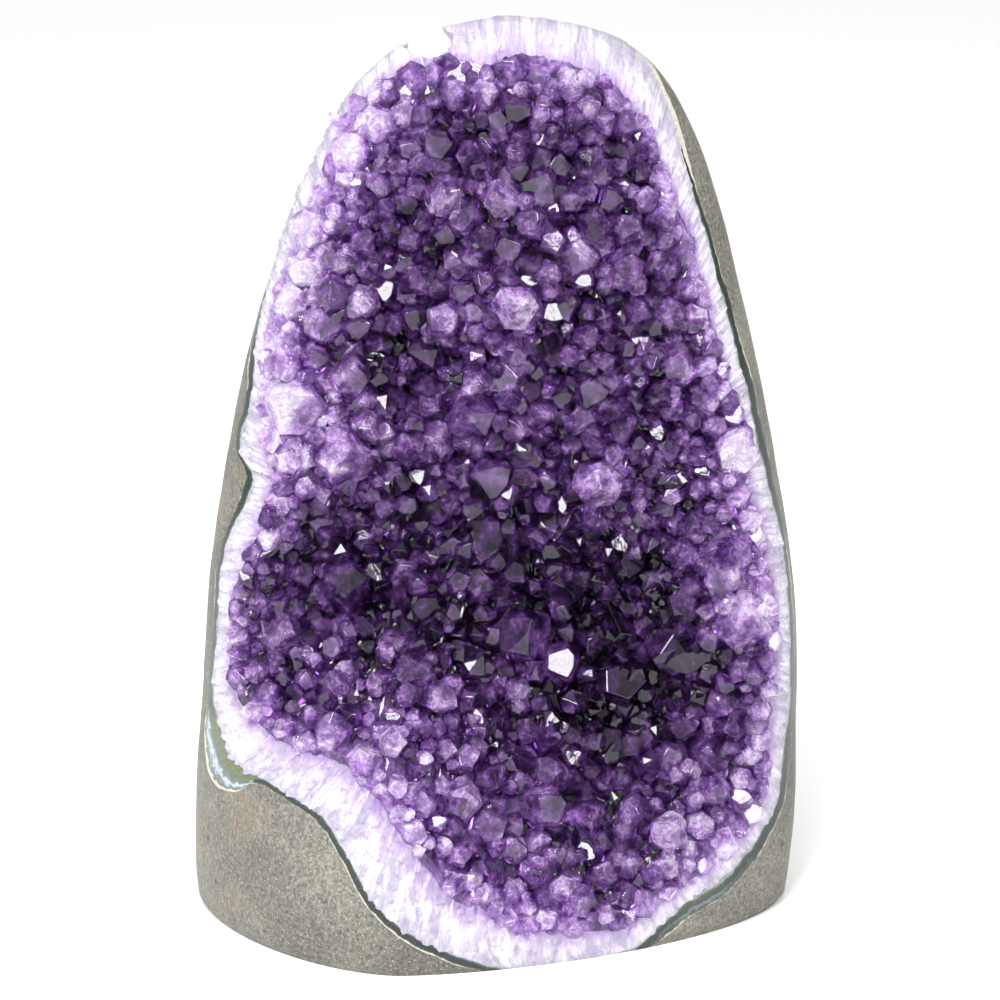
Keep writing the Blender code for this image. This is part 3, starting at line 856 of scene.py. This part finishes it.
def basalt_material():
    """Ground basalt: grey-brown patches and grain, flecks, pits, rust, pale veins and scratches."""
    s = Shader("basalt")
    patches = s.noise(0.045, 3.0)
    grain = s.noise(1.5, 4.0, 0.7)
    colour = s.mix(0.75, s.ramp(patches, BASALT_PATCHES), s.ramp(grain, BASALT_GRAIN), "OVERLAY")

    pale_flecks = s.cells(1.15)
    colour = s.mix(s.remap(pale_flecks, 0.12, 0.26, 0.6, 0.0), colour, PALE_FLECK)
    dark_flecks = s.cells(0.75, s.stretched((1.0, 1.0, 1.25), (0.4, 0.2, 0.9)))
    colour = s.mix(s.remap(dark_flecks, 0.12, 0.26, 0.75, 0.0), colour, DARK_FLECK)
    pit_cells = s.cells(0.14, s.stretched((1, 1, 1), (0.3, 0.7, 0.1)))
    pits = s.remap(pit_cells, 0.05, 0.085, 1.0, 0.0)
    colour = s.mix(s.math("MULTIPLY", pits, 0.75), colour, PIT_COLOUR)
    stain = s.math("MULTIPLY", s.remap(s.noise(0.09, 5.0, 0.65), 0.56, 0.72), 0.55)
    colour = s.mix(stain, colour, RUST)

    vein_cells = s.cells(0.32, s.stretched((1.0, 1.0, 0.45), (0.3, 0.35, 0.2)), "DISTANCE_TO_EDGE")
    bent = s.math("ADD", vein_cells, s.swing(s.noise(0.8, 4.0, 0.7), 0.5))
    vein_strength = s.remap(patches, 0.4, 0.6, 0.0, 0.45)
    colour = s.mix(s.remap(s.math("ABSOLUTE", bent), 0.0, 0.05, vein_strength, 0.0), colour, VEIN_COLOUR)
    scratches = s.noise(1.0, 3.0, 0.6, s.stretched((4.0, 4.0, 0.35), (0.0, 0.4, 0.0)))
    colour = s.mix(s.remap(scratches, 0.56, 0.68, 0.0, 0.5), colour, SCRATCH_COLOUR)

    normal = s.bump(grain, 0.05, 0.5)
    normal = s.bump(scratches, -0.05, 0.6, normal)
    normal = s.bump(s.math("MULTIPLY", pits, -1.0), 0.35, 0.9, normal)
    return s.finish(Base_Color=colour, Roughness=s.remap(grain, 0.3, 0.7, 0.42, 0.62), Normal=normal)


# From the basalt to the quartz: a pale skin, then near black green
RIND_BANDS = (
    (0.0, (0.50, 0.48, 0.40)), (0.12, (0.50, 0.48, 0.40)), (0.2, (0.045, 0.055, 0.04)),
    (0.4, (0.012, 0.02, 0.016)), (0.75, (0.018, 0.028, 0.024)), (0.93, (0.07, 0.09, 0.08)),
    (1.0, (0.28, 0.3, 0.32)),
)
AGATE_BANDS = (
    (0.0, (0.06, 0.07, 0.035)), (0.35, (0.08, 0.095, 0.05)), (0.55, (0.13, 0.17, 0.18)),
    (0.7, (0.42, 0.47, 0.52)), (0.8, (0.1, 0.13, 0.13)), (1.0, (0.1, 0.12, 0.06)),
)
RIND_MOTTLE = ((0.35, grey(0.35)), (0.7, grey(0.6)))


def rind_material():
    """Dark chalcedony with a pale skin, and bent agate bands where the rind is wide."""
    s = Shader("chalcedony")
    band = s.math("ADD", s.read("across"), s.swing(s.noise(0.5, 3.0), 0.35))
    bend = s.math("MULTIPLY", s.noise(0.35, 4.0, 0.6, distortion=1.0), 0.5)
    agate = s.ramp(s.math("ADD", band, bend), AGATE_BANDS)
    wide = s.math("MULTIPLY", s.remap(s.read("band_width"), 3.0, 4.5), s.remap(band, 0.14, 0.22))
    colour = s.mix(wide, s.ramp(band, RIND_BANDS), agate)
    mottle = s.noise(1.2, 3.0)
    colour = s.mix(0.5, colour, s.ramp(mottle, RIND_MOTTLE), "OVERLAY")
    rough = s.remap(mottle, 0.3, 0.7, 0.18, 0.3)
    return s.finish(Base_Color=colour, Roughness=rough, Normal=s.bump(mottle, 0.03, 0.4))


# From the rind to the druse: white, then lilac, then violet
QUARTZ_DEPTHS = (
    (0.0, (0.40, 0.41, 0.42)), (0.25, (0.60, 0.585, 0.62)), (0.6, (0.60, 0.55, 0.65)),
    (0.82, (0.44, 0.32, 0.55)), (1.0, (0.2, 0.1, 0.32)),
)
STREAK_COLOUR = (0.34, 0.29, 0.43)
ICE_DARK = (0.3, 0.26, 0.36)
ICE_PALE = (0.74, 0.73, 0.77)
QUARTZ_PIT = (0.3, 0.27, 0.34)
GROWN_STRETCH = 0.22         # the grain is this much longer inwards than along the rim


def quartz_material():
    """Icy white quartz, turning lilac towards the druse, with streaks and grains that grow inwards."""
    s = Shader("white_quartz")
    inward = s.math("MULTIPLY", s.read("inward"), GROWN_STRETCH)
    grown = s.add("ShaderNodeCombineXYZ", {0: s.read("round_rim"), 1: inward, 2: 0.0}).outputs[0]
    cloud = s.noise(0.25, 4.0, 0.6)
    colour = s.ramp(s.math("ADD", s.read("across"), s.swing(cloud, 0.9)), QUARTZ_DEPTHS)

    streaks = s.noise(0.9, 4.0, 0.6, grown, 0.6)
    colour = s.mix(s.remap(streaks, 0.35, 0.62, 0.65, 0.0), colour, STREAK_COLOUR)
    ice = s.noise(0.5, 5.0, 0.7, grown, 0.8)
    colour = s.mix(s.remap(ice, 0.4, 0.54, 0.9, 0.0), colour, ICE_DARK)
    colour = s.mix(s.remap(ice, 0.56, 0.72, 0.0, 0.8), colour, ICE_PALE)
    pits = s.cells(0.33, s.stretched((1, 1, 1), (0.2, 0.5, 0.9)))
    colour = s.mix(s.remap(pits, 0.1, 0.17, 0.6, 0.0), colour, QUARTZ_PIT)

    grains = s.cells(0.45, grown, "DISTANCE_TO_EDGE")
    normal = s.bump(streaks, 0.45, 0.8)
    normal = s.bump(s.noise(0.8, 4.0, 0.65), 0.35, 0.8, normal)
    normal = s.bump(s.remap(grains, 0.0, 0.08), 0.15, 0.6, normal)
    return s.finish(
        Base_Color=colour, Roughness=s.remap(cloud, 0.3, 0.7, 0.2, 0.42), Normal=normal, IOR=1.54)


# From near black violet to the palest lilac
AMETHYST_LEVELS = (
    (0.0, (0.012, 0.004, 0.022)), (0.25, (0.11, 0.035, 0.20)), (0.5, (0.38, 0.17, 0.58)),
    (0.75, (0.70, 0.46, 0.88)), (1.0, (0.90, 0.80, 0.97)),
)
VEIL_SWING = 1.7             # how far clouds in the colour shift it
OWN_SWING = 0.36             # and how far the points differ from one another


def amethyst_material():
    """Clear violet quartz with milky wisps, palest at the rim, with painted shade in the dips of the face
    and deep down between the points.
    """
    s = Shader("amethyst")
    level = s.math("ADD", s.read("tone_and_shade"), s.swing(s.noise(0.24, 5.0, 0.62), VEIL_SWING))
    level = s.math("ADD", level, s.swing(s.read("own"), OWN_SWING))
    # painted shade: darker low down near the floor between the points, a little paler up at their tips
    level = s.math("ADD", level, s.remap(s.read("rise"), 0.0, 0.7, -0.2, 0.06))
    wisps = s.noise(0.7, 5.0, 0.7, distortion=1.2)
    milky = s.remap(level, 0.5, 1.0, 0.0, 0.25)
    clear = s.math("SUBTRACT", s.remap(wisps, 0.45, 0.7, 0.88, 0.5), milky, clamp=True)
    normal = s.bump(s.noise(2.2, 3.0, 0.6), 0.02, 0.5)
    normal = s.bump(s.noise(0.5, 2.0), 0.12, 0.35, normal)
    absorb = s.add("ShaderNodeVolumeAbsorption", {"Color": (0.52, 0.28, 0.66, 1.0), "Density": 110.0})
    s.tree.links.new(absorb.outputs[0], s.output.inputs["Volume"])
    return s.finish(
        Base_Color=s.ramp(level, AMETHYST_LEVELS), Roughness=s.remap(wisps, 0.4, 0.8, 0.03, 0.14),
        Normal=normal, IOR=1.544, Transmission_Weight=clear)


# ---------------------------------------------------------------- studio

CAMERA_RISE = math.radians(18.0)     # above level, square on to the face
CAMERA_DISTANCE = 0.71
CAMERA_LENS = 135.0
CAMERA_AIM = Vector((0.001, -0.014, 0.088))
SKY_LEVELS = (0.4, 1.15)     # at the horizon and overhead
LIGHT_AIM = Vector((0.0, 0.0, 0.09))
# (name, place, size, power), places and sizes in metres
LIGHTS = (
    ("overhead", (-0.2, -0.45, 0.8), (0.4, 0.3), 6.5),
    ("left_front", (-0.75, -0.6, 0.4), (0.2, 0.3), 4.0),
    ("right_front", (0.75, -0.5, 0.45), (0.2, 0.3), 3.5),
    ("spark_left", (-0.25, -0.9, 0.6), (0.08, 0.08), 1.0),
    ("spark_right", (0.3, -0.8, 0.85), (0.08, 0.08), 1.0),
    ("spark_low", (-0.5, -0.7, 0.12), (0.1, 0.1), 0.8),
)
FLOOR_REACH = 4000.0
FLOOR_CORNERS = ((-1, -1), (1, -1), (1, 1), (-1, 1))
FLOOR_SHADES = ((0.3, grey(0.92)), (0.7, grey(0.94)))


def add_camera():
    data = bpy.data.cameras.new("camera")
    data.lens = CAMERA_LENS
    data.sensor_width = 36.0
    camera = bpy.data.objects.new("camera", data)
    out = Vector((0, -math.cos(CAMERA_RISE), math.sin(CAMERA_RISE)))
    camera.location = CAMERA_AIM + out * CAMERA_DISTANCE
    camera.rotation_euler = (math.pi / 2 - CAMERA_RISE, 0, 0)
    bpy.context.scene.collection.objects.link(camera)
    bpy.context.scene.camera = camera


def add_light(name, place, size, power):
    data = bpy.data.lights.new(name, "AREA")
    data.shape = "RECTANGLE"
    data.size, data.size_y = size
    data.energy = power
    light = bpy.data.objects.new(name, data)
    light.location = place
    light.rotation_euler = (LIGHT_AIM - Vector(place)).to_track_quat("-Z", "Y").to_euler()
    bpy.context.scene.collection.objects.link(light)


def add_floor():
    corners = [(x * FLOOR_REACH, y * FLOOR_REACH, 0.0) for x, y in FLOOR_CORNERS]
    floor = mesh_from("floor", corners, [[0, 1, 2, 3]])
    s = Shader("pale_floor")
    shade = s.ramp(s.noise(0.004, 2.0), FLOOR_SHADES)
    floor.data.materials.append(s.finish(Base_Color=shade, Roughness=0.7))


def add_sky():
    """White light all round, stronger from above."""
    world = bpy.data.worlds.new("studio")
    bpy.context.scene.world = world
    world.use_nodes = True
    nodes, links = world.node_tree.nodes, world.node_tree.links
    upward = nodes.new("ShaderNodeSeparateXYZ")
    links.new(nodes.new("ShaderNodeTexCoord").outputs["Generated"], upward.inputs[0])
    sky = nodes.new("ShaderNodeMapRange")
    sky.inputs["To Min"].default_value, sky.inputs["To Max"].default_value = SKY_LEVELS
    links.new(upward.outputs["Z"], sky.inputs["Value"])
    links.new(sky.outputs[0], nodes["Background"].inputs["Strength"])
    nodes["Background"].inputs["Color"].default_value = (1.0, 1.0, 1.0, 1.0)


# ---------------------------------------------------------------- assembly

SHARP_ANGLE = math.radians(30)


def dress(obj, material, node):
    """Gives a mineral its material, and says what it rides on and what it stands in for."""
    obj.data.materials.clear()
    obj.data.materials.append(material)
    obj.data.polygons.foreach_set("material_index", np.zeros(len(obj.data.polygons), np.int32))
    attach(obj, "root")
    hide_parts(node)


basalt, rind, quartz, druse = build_minerals()
mark_band(rind, BASALT_POLAR, RIND_POLAR)
mark_band(quartz, RIND_POLAR, AMETHYST_POLAR)
mark_druse(druse)
dress(basalt, basalt_material(), "basalt_matrix")
dress(rind, rind_material(), "chalcedony_rind")
dress(quartz, quartz_material(), "quartz_layer")
dress(druse, amethyst_material(), "amethyst_druse")
for rounded in (basalt, rind, quartz):
    rounded.data.shade_smooth()
    rounded.data.set_sharp_from_angle(angle=SHARP_ANGLE)
druse.data.shade_flat()

add_floor()
add_sky()
for light in LIGHTS:
    add_light(*light)
add_camera()
bpy.context.scene.view_settings.view_transform = "Standard"
